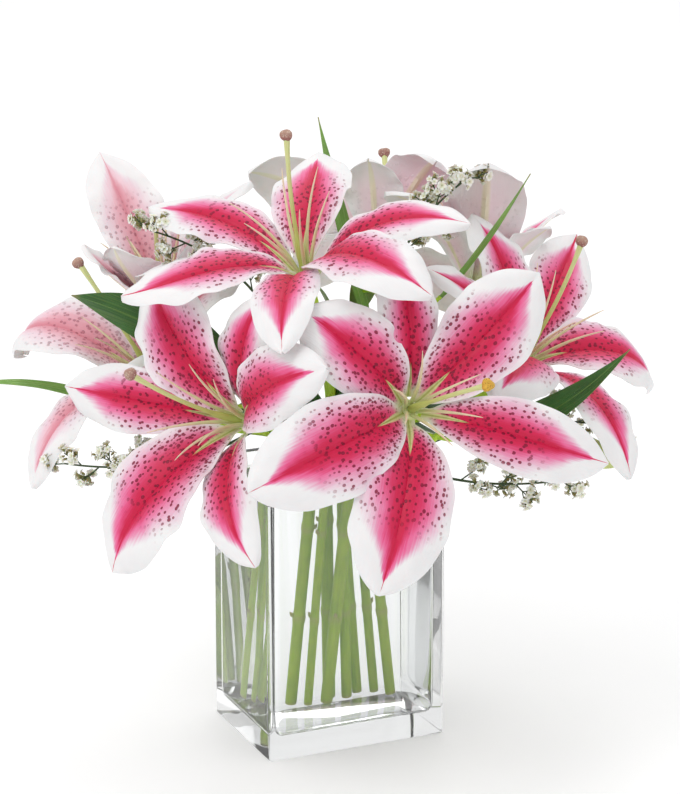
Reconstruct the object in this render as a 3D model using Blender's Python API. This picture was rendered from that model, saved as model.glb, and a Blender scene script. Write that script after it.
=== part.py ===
"""Cut lilies standing in a rectangular clear glass vase of water.

Metres, +Z up. The origin is the centre of the vase's flat underside. X runs
along the vase's wide side, and the wide front pane faces -Y.

Each flower is built in a frame of its own: Z is the axis that it opens along,
Y points as nearly up as it can, and a tepal's angle is measured from X towards
Y. Six tepals stand in two rings of three, the outer ring narrower and lower.
"""

import math

import bmesh
import bpy
from mathutils import Matrix, Vector

MM = 0.001
GAP = 0.3 * MM  # left between pieces that touch

# Vase and water
VASE_WIDTH = 104 * MM
VASE_DEPTH = 80 * MM
VASE_HEIGHT = 152 * MM
PANE = 5 * MM
VASE_FLOOR = 12 * MM
OUTER_CORNER = 2.5 * MM
INNER_CORNER = 4 * MM
FLOOR_FILLET = 6 * MM
EDGE_EASE = 0.8 * MM
CORNER_STEPS = 3
WATER_LEVEL = 143 * MM

# Stems
WAIST = 150 * MM  # height at which the stems leave the straight run in the vase
STEM_SIDES = 8
STEM_FOOT = VASE_FLOOR + 1.5 * MM
NODE_SWELL = 1.18
STEM_NODES = (0.36, 0.74)  # shares of the straight run
NODE_REACH = 0.04  # share of the straight run that a node's swelling takes on each side
STEM_BEND_STEPS = 7
STEM_CURVE = 0.42  # how far the bend's handles reach, as a share of its span
STEM_TOP_RADIUS = 3.2 * MM
CUTTER_OVERRUN = 8 * MM

# Flowers
TEPAL_THICKNESS = 1.0 * MM
TEPAL_ROWS = 6
TEPAL_COLUMNS = 4
CLAW_RADIUS = 4.6 * MM
CLAW_WIDTH = 7.5 * MM
LAYER_STEP = 1.25 * MM  # each layer's claws stand this far outside the one before
LAYER_SETBACK = 0.8 * MM  # and start this much lower
COLLAR_HEIGHT = 1.5 * MM
THROAT_RADIUS = 3.4 * MM
PISTIL_RADIUS = 1.7 * MM
RECEPTACLE_TOP = -4.2 * MM
RECEPTACLE_RIM = 1.5 * MM  # height of its straight side
RECEPTACLE_RADIUS = 6.5 * MM
RECEPTACLE_FOOT = -14 * MM
PISTIL_LENGTH = 76 * MM
YOUNG_PISTIL_LENGTH = 50 * MM
YOUNG_FLOWERS = ("back_left", "back_right")  # half open, with shorter pistils
PISTIL_LEAN = (2, 22)  # degrees from the axis, at its foot and its end
PISTIL_RADII = (1.7, 1.5, 1.2, 1.2, 1.5)  # mm, foot to end
STIGMA_RADIUS = 3.2 * MM
STIGMA_SPAN = (1.5 * MM, 4.5 * MM)  # from the end of the pistil
STIGMA_TAPER = 0.8
FILAMENT_LENGTH = 56 * MM
FILAMENT_LEAN = (16, 34)
FILAMENT_RADII = (1.0, 0.9, 0.7, 0.5)

# Leaves, bud and filler
LEAF_ROWS = 6
LEAF_START = 0.08  # how much of the blade's rounded outline is cut away at its root
LEAF_BULGE = 0.8  # under 1 puts the widest place nearer to the root
HANDLE = 0.67  # how far a curve's handles reach towards the point that bends it
LEAF_FOLD = 0.25
LEAF_THICKNESS = 0.8 * MM
STALK_RADIUS = 1.8 * MM
BUD_STALK_CURVE = 0.4
BUD_STALK_HEADING = (0, -0.3, 0.9)
BUD_OUTLINE = ((0.08, 0.55), (0.25, 0.82), (0.5, 1.0), (0.75, 0.8), (0.93, 0.4))
BUD_TIP_RADIUS = 1 * MM
SPRIG_RADIUS = 0.9 * MM
SPRIG_BARE_STEPS = 5
TWIG_FOOT = 0.25  # where a twig has narrowed, and where it ends, as shares of its reach
TWIG_END = 0.7
TWIG_RADIUS = 0.6 * MM
CLUSTER_LENGTH = 6 * MM
CLUSTER = ((0.0, 2.0 * MM), (0.5, 2.6 * MM), (1.0, 1.4 * MM))

# angle towards which each pistil leans, in its flower's frame
PISTIL_DROOP = {
    "front": 0,
    "left": 130,
    "top": 100,
    "back_left": 60,
    "far_left": 180,
    "back": 60,
    "back_right": 280,
    "right": 60,
}

# flower: (centre x, y, z in mm), azimuth and elevation of its axis, and the cup
# that its tepals share: how far their midribs lean from the axis at the foot
# and half way, in degrees
FLOWERS = {
    "front": ((5, -95, 210), -95, 25, 35, 80),
    "left": ((-65, -35, 195), -160, 20, 35, 70),
    "top": ((-20, -15, 265), -155, 70, 35, 80),
    "back_left": ((-55, 100, 220), 150, 75, 25, 40),
    "far_left": ((-75, 65, 190), 175, 60, 35, 60),
    "back": ((55, 60, 250), 55, 20, 35, 65),
    "back_right": ((105, 30, 230), 60, 60, 25, 40),
    "right": ((100, -30, 205), -50, 55, 35, 75),
}

# flower: (foot x, y), (waist x, y), radius, all in mm
STEMS = {
    "front": ((-1, 19), (5, -12), 3.5),
    "left": ((-12, 19), (-8, -7), 2.4),
    "top": ((12, 22), (3, 1), 3.0),
    "back_left": ((3, 27), (-2, 14), 3.6),
    "far_left": ((-20, 26), (-12, 4), 3.3),
    "back": ((20, 28), (7, 17), 2.8),
    "back_right": ((29, 24), (13, 9), 2.6),
    "right": ((36, 15), (16, -4), 3.0),
}

# flower, tepal: layer, angle, length and width in mm, lean of the tip, sideways bend
TEPALS = {
    "front": {
        "upper": (2, 90, 80, 32, 100, 0),
        "upper_left": (1, 135, 80, 46, 110, 0),
        "left": (0, 200, 110, 52, 105, 0),
        "lower": (1, 250, 105, 54, 100, -5),
        "right": (2, 335, 105, 40, 95, 5),
        "upper_right": (0, 40, 100, 48, 105, 0),
    },
    "left": {
        "upper": (0, 135, 95, 50, 100, 0),
        "left": (2, 185, 105, 36, 90, 0),
        "lower_left": (0, 250, 110, 56, 115, 0),
        "lower": (2, 310, 95, 38, 120, 5),
        "right": (0, 30, 95, 44, 110, -5),
        "upper_right": (2, 75, 75, 34, 125, 15),
    },
    "top": {
        "left": (0, 240, 100, 46, 80, 0),
        "upper_left": (2, 180, 105, 38, 95, 5),
        "upper": (0, 120, 90, 44, 90, 5),
        "right": (2, 40, 95, 38, 110, -20),
        "lower_right": (0, 350, 110, 44, 125, 10),
        "lower": (2, 305, 100, 36, 120, 0),
    },
}

# flower, ring: layer, then angle, length, width and the midrib's lean half way
# and at the tip for each tepal
WHORLS = {
    "back_left": {
        "inner": (0, ((205, 100, 40, 30, 50), (325, 50, 40, 30, 0), (95, 85, 44, 45, 70))),
        "outer": (2, ((150, 65, 36, 45, 70), (275, 55, 34, 35, 15), (25, 55, 34, 45, 80))),
    },
    "far_left": {
        "inner": (0, ((215, 110, 46, 60, 160), (335, 60, 44, 50, 90), (90, 80, 44, 70, 105))),
        "outer": (2, ((165, 45, 30, 60, 90), (295, 105, 38, 85, 130), (35, 50, 30, 55, 80))),
    },
    "back": {
        "inner": (0, ((20, 90, 44, 65, 110), (125, 70, 40, 55, 150), (260, 85, 44, 60, 100))),
        "outer": (2, ((85, 50, 34, 65, 100), (225, 75, 34, 75, 110), (320, 85, 34, 60, 110))),
    },
    "back_right": {
        "inner": (0, ((95, 85, 46, 45, 80), (210, 70, 40, 40, 45), (330, 45, 36, 30, 45))),
        "outer": (2, ((155, 50, 28, 45, 65), (275, 85, 34, 45, 70), (40, 80, 34, 50, 95))),
    },
    "right": {
        "inner": (0, ((75, 85, 44, 60, 90), (190, 95, 44, 75, 120), (315, 90, 48, 75, 140))),
        "outer": (2, ((20, 100, 38, 70, 80), (130, 85, 34, 65, 90), (245, 105, 38, 80, 120))),
    },
}

# leaf: root, tip, width, rise of its middle, and the way its upper face looks
LEAVES = {
    "leaf_left": ((-50, 12, 204), (-130, 45, 250), 34, 5, (-0.2, -0.6, 0.8)),
    "leaf_thin_left": ((-92, 76, 172), (-172, 96, 191), 7, 6, (0, -0.5, 0.9)),
    "leaf_top": ((30, 18, 225), (20, 60, 330), 14, -6, (0.5, -0.8, 0.3)),
    "grass_right": ((57, -18, 243), (104, -32, 311), 5, -3, (0.5, -0.8, 0.3)),
    "leaf_right": ((58, -62, 178), (124, -112, 233), 17, -10, (-0.5, -0.6, 0.7)),
    "leaf_middle_left": ((-16, -12, 185), (-46, -8, 242), 20, 0, (-0.4, -0.9, 0.3)),
    "leaf_middle_right": ((16, -14, 185), (24, -22, 246), 18, 0, (0.2, -0.9, 0.3)),
}

# bud: root of its stalk, foot and tip of the bud, greatest radius
BUDS = {
    "bud_right": ((40, -40, 164), (92, -77, 178), (126, -102, 166), 8.5),
}

# sprig: root, handle, end of its main stalk, branches, their reach
SPRIGS = {
    "sprig_upper_left": ((-14, 22, 205), (-25, 30, 260), (-78, 62, 276), 8, 18),
    "sprig_left": ((-44, 4, 174), (-90, 4, 154), (-145, 20, 165), 8, 16),
    "sprig_middle": ((-16, -18, 190), (-32, -20, 222), (-52, -34, 236), 6, 12),
    "sprig_top": ((34, 10, 225), (48, 16, 275), (84, 4, 302), 8, 18),
    "sprig_right": ((42, -36, 168), (80, -60, 190), (130, -80, 180), 8, 18),
    "sprig_low": ((26, -36, 160), (50, -70, 150), (92, -98, 160), 8, 14),
}


# ---------------------------------------------------------------- materials


def material(name, colour, roughness, transmission=0.0, ior=1.45):
    made = bpy.data.materials.new(name)
    made.use_nodes = True
    shader = made.node_tree.nodes["Principled BSDF"]
    shader.inputs["Base Color"].default_value = (*colour, 1)
    shader.inputs["Roughness"].default_value = roughness
    shader.inputs["Metallic"].default_value = 0.0
    shader.inputs["Transmission Weight"].default_value = transmission
    shader.inputs["IOR"].default_value = ior
    return made


# ---------------------------------------------------------------- building blocks


def mm(*values):
    return Vector(values) * MM


def add_object(name, bm, made_of, parent=None):
    bmesh.ops.recalc_face_normals(bm, faces=bm.faces)
    mesh = bpy.data.meshes.new(name)
    bm.to_mesh(mesh)
    bm.free()
    mesh.shade_smooth()
    mesh.set_sharp_from_angle(angle=math.radians(50))
    mesh.materials.append(made_of)
    obj = bpy.data.objects.new(name, mesh)
    obj.parent = parent
    bpy.context.scene.collection.objects.link(obj)
    return obj


def join_rings(bm, lower, upper):
    """Side faces between two rings of as many points."""
    for i, point in enumerate(lower):
        after = (i + 1) % len(lower)
        bm.faces.new((point, lower[after], upper[after], upper[i]))


def circle(bm, centre, direction, radius, sides):
    """A ring of points round a centre, square to a direction."""
    across = direction.orthogonal().normalized()
    other = direction.cross(across).normalized()
    ring = []
    for i in range(sides):
        turn = 2 * math.pi * i / sides
        ring.append(bm.verts.new(centre + radius * (across * math.cos(turn) + other * math.sin(turn))))
    return ring


def grow(bm, ring, centre, direction, radius):
    """The ring carried on to a new centre, square to a direction, with its side faces."""
    old_centre = sum((point.co for point in ring), Vector()) / len(ring)
    direction = direction.normalized()
    upper = []
    for point in ring:
        spoke = point.co - old_centre
        spoke -= direction * spoke.dot(direction)
        upper.append(bm.verts.new(centre + spoke.normalized() * radius))
    join_rings(bm, ring, upper)
    return upper


def grow_along(bm, ring, path, radii):
    """The ring carried along a path, one new ring at each point of it."""
    for i, centre in enumerate(path):
        before = path[i - 1] if i else sum((p.co for p in ring), Vector()) / len(ring)
        after = path[i + 1] if i + 1 < len(path) else centre + (centre - before)
        ring = grow(bm, ring, centre, after - before, radii[i])
    return ring


def bezier(start, start_handle, end_handle, end, share):
    rest = 1 - share
    return (
        start * rest**3
        + start_handle * (3 * rest**2 * share)
        + end_handle * (3 * rest * share**2)
        + end * share**3
    )


# ---------------------------------------------------------------- vase and water


def rounded_rectangle(bm, width, depth, corner, height):
    """A ring of points on a rectangle with round corners, at one height."""
    ring = []
    for quarter in range(4):
        centre_x = (width / 2 - corner) * (1 if quarter in (0, 3) else -1)
        centre_y = (depth / 2 - corner) * (1 if quarter in (0, 1) else -1)
        for step in range(CORNER_STEPS + 1):
            turn = math.radians(90) * (quarter + step / CORNER_STEPS)
            x = centre_x + corner * math.cos(turn)
            y = centre_y + corner * math.sin(turn)
            ring.append(bm.verts.new((x, y, height)))
    return ring


def box_rings(bm, width, depth, corner, levels):
    """Rounded rectangles stacked up, each pulled in by its own inset."""
    rings = []
    for height, inset in levels:
        rings.append(
            rounded_rectangle(
                bm, width - 2 * inset, depth - 2 * inset, max(corner - inset, 1 * MM), height
            )
        )
    for lower, upper in zip(rings, rings[1:]):
        join_rings(bm, lower, upper)
    return rings


def hollow_levels(gap, top):
    """Heights and insets of the vase's hollow, with its rounded floor edge, kept a gap inside."""
    radius = FLOOR_FILLET - gap
    levels = []
    steps = 3
    for step in range(steps + 1):
        turn = math.radians(90) * step / steps
        height = VASE_FLOOR + gap + radius * (1 - math.cos(turn))
        levels.append((height, gap + radius * (1 - math.sin(turn))))
    levels.append((top, gap))
    return levels


def make_vase(glass):
    bm = bmesh.new()
    outside = box_rings(
        bm,
        VASE_WIDTH,
        VASE_DEPTH,
        OUTER_CORNER,
        (
            (0, EDGE_EASE),
            (EDGE_EASE, 0),
            (VASE_HEIGHT - EDGE_EASE, 0),
            (VASE_HEIGHT, EDGE_EASE),
        ),
    )
    levels = hollow_levels(0, VASE_HEIGHT - EDGE_EASE) + [(VASE_HEIGHT, -EDGE_EASE)]
    inside = box_rings(
        bm, VASE_WIDTH - 2 * PANE, VASE_DEPTH - 2 * PANE, INNER_CORNER, levels
    )
    join_rings(bm, outside[-1], inside[-1])
    bm.faces.new(outside[0])
    bm.faces.new(inside[0])
    return add_object("vase", bm, glass)


def make_water(clear, cutters):
    bm = bmesh.new()
    rings = box_rings(
        bm,
        VASE_WIDTH - 2 * PANE,
        VASE_DEPTH - 2 * PANE,
        INNER_CORNER,
        hollow_levels(GAP, WATER_LEVEL),
    )
    bm.faces.new(rings[0])
    bm.faces.new(rings[-1])
    water = add_object("water", bm, clear)
    for cutter in cutters:
        hole = water.modifiers.new(cutter.name, "BOOLEAN")
        hole.operation = "DIFFERENCE"
        hole.solver = "EXACT"
        hole.object = cutter
    return water


# ---------------------------------------------------------------- flowers


def flower_axes(flower):
    """The flower's own X, Y and Z as unit vectors of the whole object's frame."""
    _, azimuth, elevation, _, _ = FLOWERS[flower]
    azimuth, elevation = math.radians(azimuth), math.radians(elevation)
    axis = Vector(
        (
            math.cos(elevation) * math.cos(azimuth),
            math.cos(elevation) * math.sin(azimuth),
            math.sin(elevation),
        )
    )
    upward = (Vector((0, 0, 1)) - axis * axis.z).normalized()
    return upward.cross(axis), upward, axis


def flower_matrix(flower):
    side, upward, axis = flower_axes(flower)
    turned = Matrix((side, upward, axis)).transposed().to_4x4()
    return Matrix.Translation(mm(*FLOWERS[flower][0])) @ turned


def flower_empty(flower):
    empty = bpy.data.objects.new(f"flower_{flower}", None)
    empty.empty_display_size = 20 * MM
    bpy.context.scene.collection.objects.link(empty)
    empty.matrix_world = flower_matrix(flower)
    return empty


def width_share(share):
    """Half width along a tepal: a narrow claw, widest near the middle, then a drawn-out tip."""
    rise, fall = 0.95, 0.78
    peak = rise / (rise + fall)
    blade = (share**rise * (1 - share) ** fall) / (peak**rise * (1 - peak) ** fall)
    return blade


def tepal_rows(cup, layer, angle, length, width, spread, tip, bend):
    """Rows of points over a tepal's middle surface, in the flower's frame, foot first."""
    radius = CLAW_RADIUS + layer * LAYER_STEP
    height = -layer * LAYER_SETBACK
    foot_angle = math.radians(angle)
    place = Vector((math.cos(foot_angle), math.sin(foot_angle), 0)) * radius
    place.z = height
    fine = 8  # midrib steps to each row
    rows = []
    for i in range(TEPAL_ROWS * fine + 1):
        share = i / (TEPAL_ROWS * fine)
        lean = math.radians(
            cup
            + (4 * spread - 3 * cup - tip) * share
            + (2 * cup + 2 * tip - 4 * spread) * share**2
        )
        swing = math.radians(angle + bend * share**2)
        outward = Vector((math.cos(swing), math.sin(swing), 0))
        side = Vector((-math.sin(swing), math.cos(swing), 0))
        axis = Vector((0, 0, 1))
        upper_side = axis * math.sin(lean) - outward * math.cos(lean)
        if i:
            place = place + (outward * math.sin(lean) + axis * math.cos(lean)) * (
                length * MM / (TEPAL_ROWS * fine)
            )
        if i % fine:
            continue
        half = max(
            width * MM / 2 * width_share(share), CLAW_WIDTH / 2 * (1 - share) ** 3
        )
        from_axis = math.hypot(place.x, place.y)
        row = []
        for column in range(TEPAL_COLUMNS + 1):
            offset = half * (2 * column / TEPAL_COLUMNS - 1)
            wrap = offset**2 * math.cos(lean) / (2 * from_axis)
            row.append(place + side * offset + upper_side * wrap)
        rows.append(row)
    rows[-1] = [rows[-1][TEPAL_COLUMNS // 2]]
    return rows


def add_tepal_sheet(bm, rows):
    """The tepal's open sheet, which ends in a fan of triangles at its tip. Returns its foot row."""
    verts = [[bm.verts.new(point) for point in row] for row in rows]
    for lower, upper in zip(verts, verts[1:-1]):
        for i in range(TEPAL_COLUMNS):
            bm.faces.new((lower[i], lower[i + 1], upper[i + 1], upper[i]))
    tip = verts[-1][0]
    for i in range(TEPAL_COLUMNS):
        bm.faces.new((verts[-2][i], verts[-2][i + 1], tip))
    return verts[0]


def thicken(obj, thickness):
    solid = obj.modifiers.new("Thickness", "SOLIDIFY")
    solid.thickness = thickness
    solid.offset = 0
    return obj


def make_tepal(name, empty, petal, flower, layer, angle, length, width, tip, bend):
    _, _, _, cup, spread = FLOWERS[flower]
    bm = bmesh.new()
    add_tepal_sheet(bm, tepal_rows(cup, layer, angle, length, width, spread, tip, bend))
    return thicken(add_object(name, bm, petal, empty), TEPAL_THICKNESS)


def make_whorl(name, empty, petal, flower, layer, shapes):
    """Three tepals that share a short collar round the throat."""
    cup = FLOWERS[flower][3]
    bm = bmesh.new()
    collar_top = []
    for angle, length, width, spread, tip in sorted(shapes):
        rows = tepal_rows(cup, layer, angle, length, width, spread, tip, 0)
        collar_top += add_tepal_sheet(bm, rows)
    collar_foot = [
        bm.verts.new(point.co - Vector((0, 0, COLLAR_HEIGHT))) for point in collar_top
    ]
    join_rings(bm, collar_foot, collar_top)
    return thicken(add_object(name, bm, petal, empty), TEPAL_THICKNESS)


def curved_limb(outward, start, length, lean_start, lean_end, steps):
    """Points along a limb that leans more and more away from the flower's axis."""
    points = []
    place = start
    for i in range(steps):
        lean = math.radians(lean_start + (lean_end - lean_start) * (i + 0.5) / steps)
        place = place + (
            outward * math.sin(lean) + Vector((0, 0, 1)) * math.cos(lean)
        ) * (length / steps)
        points.append(place)
    return points


def in_mm(values):
    return [value * MM for value in values]


def make_heart(name, empty, green, droop, pistil_length):
    """Receptacle, ovary and pistil in the middle, and six filaments round it, in one piece."""
    up = Vector((0, 0, 1))
    sides = 6
    bm = bmesh.new()
    ring = circle(bm, up * RECEPTACLE_FOOT, up, STEM_TOP_RADIUS, sides)
    bm.faces.new(ring)
    ring = grow(bm, ring, up * (RECEPTACLE_TOP - RECEPTACLE_RIM), up, RECEPTACLE_RADIUS)
    ring = grow(bm, ring, up * RECEPTACLE_TOP, up, RECEPTACLE_RADIUS)
    ring = grow(bm, ring, up * (RECEPTACLE_TOP + GAP), up, THROAT_RADIUS)
    ring = grow(bm, ring, Vector(), up, THROAT_RADIUS)
    core = [bm.verts.new(point.co * (PISTIL_RADIUS / THROAT_RADIUS)) for point in ring]
    droop = math.radians(droop)
    outward = Vector((math.cos(droop), math.sin(droop), 0))
    path = curved_limb(outward, Vector(), pistil_length, *PISTIL_LEAN, len(PISTIL_RADII))
    top = grow_along(bm, core, path, in_mm(PISTIL_RADII))
    along = (path[-1] - path[-2]).normalized()
    for reach, taper in zip(STIGMA_SPAN, (1, STIGMA_TAPER)):
        top = grow(bm, top, path[-1] + along * reach, along, STIGMA_RADIUS * taper)
    bm.faces.new(top)
    for i in range(sides):
        after = (i + 1) % sides
        foot = [ring[i], ring[after], core[after], core[i]]
        centre = sum((point.co for point in foot), Vector()) / 4
        outward = Vector((centre.x, centre.y, 0)).normalized()
        path = curved_limb(
            outward, centre, FILAMENT_LENGTH, *FILAMENT_LEAN, len(FILAMENT_RADII)
        )
        bm.faces.new(grow_along(bm, foot, path, in_mm(FILAMENT_RADII)))
    return add_object(name, bm, green, empty)


# ---------------------------------------------------------------- stems


def stem_points(flower):
    """Points and radii up a stem, straight in the vase and then curving in under its flower."""
    foot, waist, radius = STEMS[flower]
    foot = Vector((foot[0] * MM, foot[1] * MM, STEM_FOOT))
    waist = Vector((waist[0] * MM, waist[1] * MM, WAIST))
    radius = radius * MM
    axis = flower_axes(flower)[2]
    matrix = flower_matrix(flower)
    top = matrix @ Vector((0, 0, RECEPTACLE_FOOT - GAP))
    points = [foot]
    radii = [radius]
    for share in STEM_NODES:
        points.append(foot.lerp(waist, share - NODE_REACH))
        points.append(foot.lerp(waist, share))
        points.append(foot.lerp(waist, share + NODE_REACH))
        radii += [radius, radius * NODE_SWELL, radius]
    reach = (top - waist).length * STEM_CURVE
    start_handle = waist + (waist - foot).normalized() * reach
    end_handle = top - axis * reach
    for step in range(STEM_BEND_STEPS + 1):
        share = step / STEM_BEND_STEPS
        points.append(bezier(waist, start_handle, end_handle, top, share))
        radii.append(radius + (STEM_TOP_RADIUS - radius) * share**2)
    return points, radii


def make_tube(name, points, radii, made_of, sides, end_direction=None):
    bm = bmesh.new()
    ring = circle(bm, points[0], (points[1] - points[0]).normalized(), radii[0], sides)
    bm.faces.new(ring)
    ring = grow_along(bm, ring, points[1:-1], radii[1:-1])
    last = end_direction or points[-1] - points[-2]
    ring = grow(bm, ring, points[-1], last, radii[-1])
    bm.faces.new(ring)
    return add_object(name, bm, made_of)


def make_stem(flower, green):
    points, radii = stem_points(flower)
    axis = flower_axes(flower)[2]
    return make_tube(f"stem_{flower}", points, radii, green, STEM_SIDES, axis)


def stem_cutter(flower):
    """A slightly fatter copy of the part of a stem that stands in the water."""
    points, radii = stem_points(flower)
    in_vase = 2 * len(STEM_NODES) + 4
    points, radii = points[:in_vase], radii[:in_vase]
    points[0] = points[0] - (points[1] - points[0]).normalized() * CUTTER_OVERRUN
    margin = GAP / math.cos(math.pi / STEM_SIDES)
    return make_cutter(f"cut_{flower}", points, [r + margin for r in radii], STEM_SIDES)


def make_cutter(name, points, radii, sides):
    bm = bmesh.new()
    ring = circle(bm, points[0], (points[1] - points[0]).normalized(), radii[0], sides)
    bm.faces.new(ring)
    bm.faces.new(grow_along(bm, ring, points[1:], radii[1:]))
    cutter = add_object(name, bm, bpy.data.materials["green_stem"])
    cutter.hide_render = True
    cutter.display_type = "WIRE"
    return cutter


# ---------------------------------------------------------------- leaves, buds, filler


def make_leaf(name, green, root, tip, width, rise, face):
    """A blade folded a little along its midrib, tapering to both ends."""
    root, tip, face = mm(*root), mm(*tip), Vector(face).normalized()
    middle = root.lerp(tip, 0.5) + Vector((0, 0, rise * MM * 2))
    bm = bmesh.new()
    rows = []
    for i in range(LEAF_ROWS + 1):
        share = i / LEAF_ROWS
        place = bezier(root, root.lerp(middle, HANDLE), tip.lerp(middle, HANDLE), tip, share)
        along = tip - root
        side = along.cross(face).normalized()
        outline = LEAF_START + (1 - LEAF_START) * share
        half = width * MM / 2 * math.sin(math.pi * outline**LEAF_BULGE)
        fold = face * half * LEAF_FOLD
        if i == LEAF_ROWS:
            rows.append([bm.verts.new(place)])
            break
        rows.append(
            [
                bm.verts.new(place - side * half + fold),
                bm.verts.new(place),
                bm.verts.new(place + side * half + fold),
            ]
        )
    for lower, upper in zip(rows, rows[1:-1]):
        for i in range(2):
            bm.faces.new((lower[i], lower[i + 1], upper[i + 1], upper[i]))
    for i in range(2):
        bm.faces.new((rows[-2][i], rows[-2][i + 1], rows[-1][0]))
    return thicken(add_object(name, bm, green), LEAF_THICKNESS)


def make_bud(name, green, root, foot, tip, radius):
    """A closed bud, three-sided in section at its widest, on a thin stalk."""
    root, foot, tip = mm(*root), mm(*foot), mm(*tip)
    axis = (tip - foot).normalized()
    bm = bmesh.new()
    reach = (foot - root).length * BUD_STALK_CURVE
    start_handle = root + Vector(BUD_STALK_HEADING) * reach
    stalk = [bezier(root, start_handle, foot - axis * reach, foot, i / 4) for i in range(5)]
    ring = circle(bm, stalk[0], (stalk[1] - stalk[0]).normalized(), STALK_RADIUS, 6)
    bm.faces.new(ring)
    ring = grow_along(bm, ring, stalk[1:], [STALK_RADIUS] * 4)
    for share, width in BUD_OUTLINE:
        ring = grow(bm, ring, foot.lerp(tip, share), axis, radius * MM * width)
    ring = grow(bm, ring, tip, axis, BUD_TIP_RADIUS)
    bm.faces.new(ring)
    return add_object(name, bm, green)


def grow_branch(bm, face, direction, reach):
    """A twig out of one side face of a stalk, with a cluster of florets at its end."""
    ring = list(face.verts)
    start = face.calc_center_median()
    bm.faces.remove(face)
    outward = direction.normalized()
    for share in (TWIG_FOOT, TWIG_END):
        ring = grow(bm, ring, start + outward * reach * share, outward, TWIG_RADIUS)
    for share, radius in CLUSTER:
        centre = start + outward * (reach * TWIG_END + CLUSTER_LENGTH * share)
        ring = grow(bm, ring, centre, outward, radius)
    bm.faces.new(ring)


def make_sprig(name, filler, root, handle, end, branches, reach):
    """A thin square stalk with twigs leaving it by turns on each side."""
    root, handle, end = mm(*root), mm(*handle), mm(*end)
    bm = bmesh.new()
    steps = 2 * branches + 2
    path = [
        bezier(root, root.lerp(handle, HANDLE), end.lerp(handle, HANDLE), end, i / steps)
        for i in range(steps + 1)
    ]
    ring = circle(bm, path[0], (path[1] - path[0]).normalized(), SPRIG_RADIUS, 4)
    bm.faces.new(ring)
    sides = []
    for i in range(1, steps + 1):
        lower = ring
        along = path[min(i + 1, steps)] - path[i - 1]
        ring = grow(bm, lower, path[i], along, SPRIG_RADIUS)
        if i > SPRIG_BARE_STEPS and i % 2 == 0:
            pairs = [(lower[k], lower[(k + 1) % 4]) for k in range(4)]
            faces = [
                next(f for f in pair[0].link_faces if pair[1] in f.verts and ring[k] in f.verts)
                for k, pair in enumerate(pairs)
            ]
            sides.append((faces, along.normalized(), i))
    along = (path[-1] - path[-2]).normalized()
    for share, radius in CLUSTER:
        ring = grow(bm, ring, path[-1] + along * CLUSTER_LENGTH * share, along, radius)
    bm.faces.new(ring)
    bm.normal_update()
    bmesh.ops.recalc_face_normals(bm, faces=bm.faces)
    for faces, along, i in sides:
        face = faces[(i // 2) % 4]
        shorten = 1 - 0.5 * i / steps
        grow_branch(bm, face, face.normal + along * 0.9, reach * MM * shorten)
    return add_object(name, bm, filler)


# ---------------------------------------------------------------- everything


def clear_scene():
    for obj in list(bpy.data.objects):
        bpy.data.objects.remove(obj)


def main():
    clear_scene()
    glass = material("clear_glass", (0.92, 0.97, 0.98), 0.02, 1.0, 1.5)
    clear = material("clear_water", (0.97, 0.99, 0.99), 0.0, 1.0, 1.33)
    green = material("green_stem", (0.22, 0.36, 0.05), 0.45)
    blade = material("green_leaf", (0.05, 0.18, 0.03), 0.4)
    petal = material("pink_petal", (0.85, 0.18, 0.32), 0.5)
    pale = material("pale_green_pistil", (0.62, 0.68, 0.32), 0.45)
    bud_green = material("yellow_green_bud", (0.5, 0.6, 0.15), 0.45)
    filler = material("white_filler", (0.75, 0.72, 0.65), 0.7)
    make_vase(glass)
    cutters = []
    for flower in FLOWERS:
        empty = flower_empty(flower)
        length = YOUNG_PISTIL_LENGTH if flower in YOUNG_FLOWERS else PISTIL_LENGTH
        make_heart(f"heart_{flower}", empty, pale, PISTIL_DROOP[flower], length)
        make_stem(flower, green)
        cutters.append(stem_cutter(flower))
        for tepal, shape in TEPALS.get(flower, {}).items():
            make_tepal(f"tepal_{flower}_{tepal}", empty, petal, flower, *shape)
        for ring, shape in WHORLS.get(flower, {}).items():
            make_whorl(f"tepals_{flower}_{ring}", empty, petal, flower, *shape)
    make_water(clear, cutters)
    for name, shape in LEAVES.items():
        make_leaf(name, blade, *shape)
    for name, shape in BUDS.items():
        make_bud(name, bud_green, *shape)
    for name, shape in SPRIGS.items():
        make_sprig(name, filler, *shape)


main()
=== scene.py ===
"""Looks for the cut lilies in a rectangular glass vase of water.

Metres, +Z up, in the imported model's frame. Each flower is built in a frame of its
own: Z is the axis that it opens along, Y points as nearly up as it can, and a
tepal's angle is measured from X towards Y. Every mesh carries facts about its
points that the materials read: "place" (across and along in mm, and a number of
the piece's own), "along" (0 foot to 1 tip), "across" (-1 to 1), "inner" (1 on
the face that looks into the flower) and "blush" (how strong its pink is).
"""

import math
import random

import bpy
import numpy as np
from mathutils import Matrix, Vector


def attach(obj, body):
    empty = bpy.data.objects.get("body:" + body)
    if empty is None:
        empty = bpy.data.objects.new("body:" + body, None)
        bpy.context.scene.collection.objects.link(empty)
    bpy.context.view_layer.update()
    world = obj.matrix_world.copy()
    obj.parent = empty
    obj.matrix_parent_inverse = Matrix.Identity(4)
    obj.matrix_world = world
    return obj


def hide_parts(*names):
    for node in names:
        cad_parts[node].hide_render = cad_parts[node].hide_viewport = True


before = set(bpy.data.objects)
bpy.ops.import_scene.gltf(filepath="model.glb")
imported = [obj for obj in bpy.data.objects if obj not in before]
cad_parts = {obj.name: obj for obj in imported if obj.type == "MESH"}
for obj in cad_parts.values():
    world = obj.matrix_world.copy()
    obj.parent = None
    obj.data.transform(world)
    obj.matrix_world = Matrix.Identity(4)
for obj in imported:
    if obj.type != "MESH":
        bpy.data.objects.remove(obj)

MM = 0.001
UP = Vector((0, 0, 1))
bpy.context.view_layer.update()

# Vase and water
VASE_WIDTH = 104 * MM
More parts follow.
